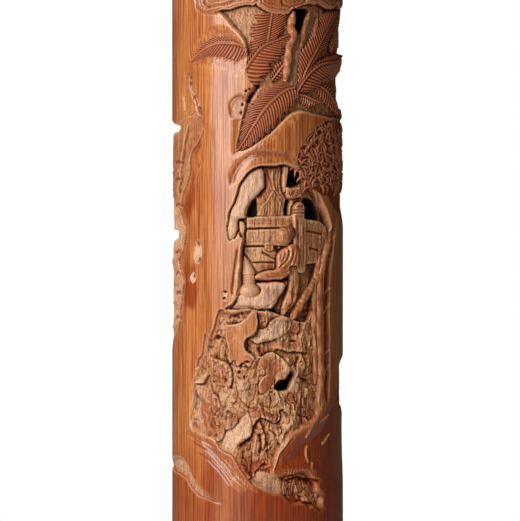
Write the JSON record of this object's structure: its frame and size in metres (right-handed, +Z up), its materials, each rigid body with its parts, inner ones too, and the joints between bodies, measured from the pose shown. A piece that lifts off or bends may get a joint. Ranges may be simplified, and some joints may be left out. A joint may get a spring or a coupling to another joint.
{
  "type": "brush holder pot",
  "caption": "Slim carved bamboo brush holder: openwork culm with hardwood rim and foot rings, let-in floor, thin inner sleeve and bracket feet.",
  "frame": {"origin": "centre of the plane that the three bracket feet stand on", "axes": "+Z up along the axis of the culm, the front of the carving faces -Y, +X to the right as seen from the front"},
  "size_m": [0.053, 0.053, 0.2],
  "materials": {
    "bamboo": "hand-polished bamboo skin over matt carved fibre",
    "bamboo_plain": "plain bamboo, lightly waxed",
    "hardwood": "dark turned hardwood, waxed",
    "lacquer": "thin black lacquered wood"
  },
  "bodies": {
    "root": {"carved_culm": "bamboo", "lacquer_sleeve": "lacquer", "floor_disc": "bamboo_plain", "rim_ring": "hardwood", "foot_ring": "hardwood", "rim_pin_1": "bamboo_plain", "rim_pin_2": "bamboo_plain", "rim_pin_3": "bamboo_plain", "foot_pin_1": "bamboo_plain", "foot_pin_2": "bamboo_plain", "foot_pin_3": "bamboo_plain", "bracket_foot_1": "hardwood", "bracket_foot_2": "hardwood", "bracket_foot_3": "hardwood"}
  },
  "joints": []
}
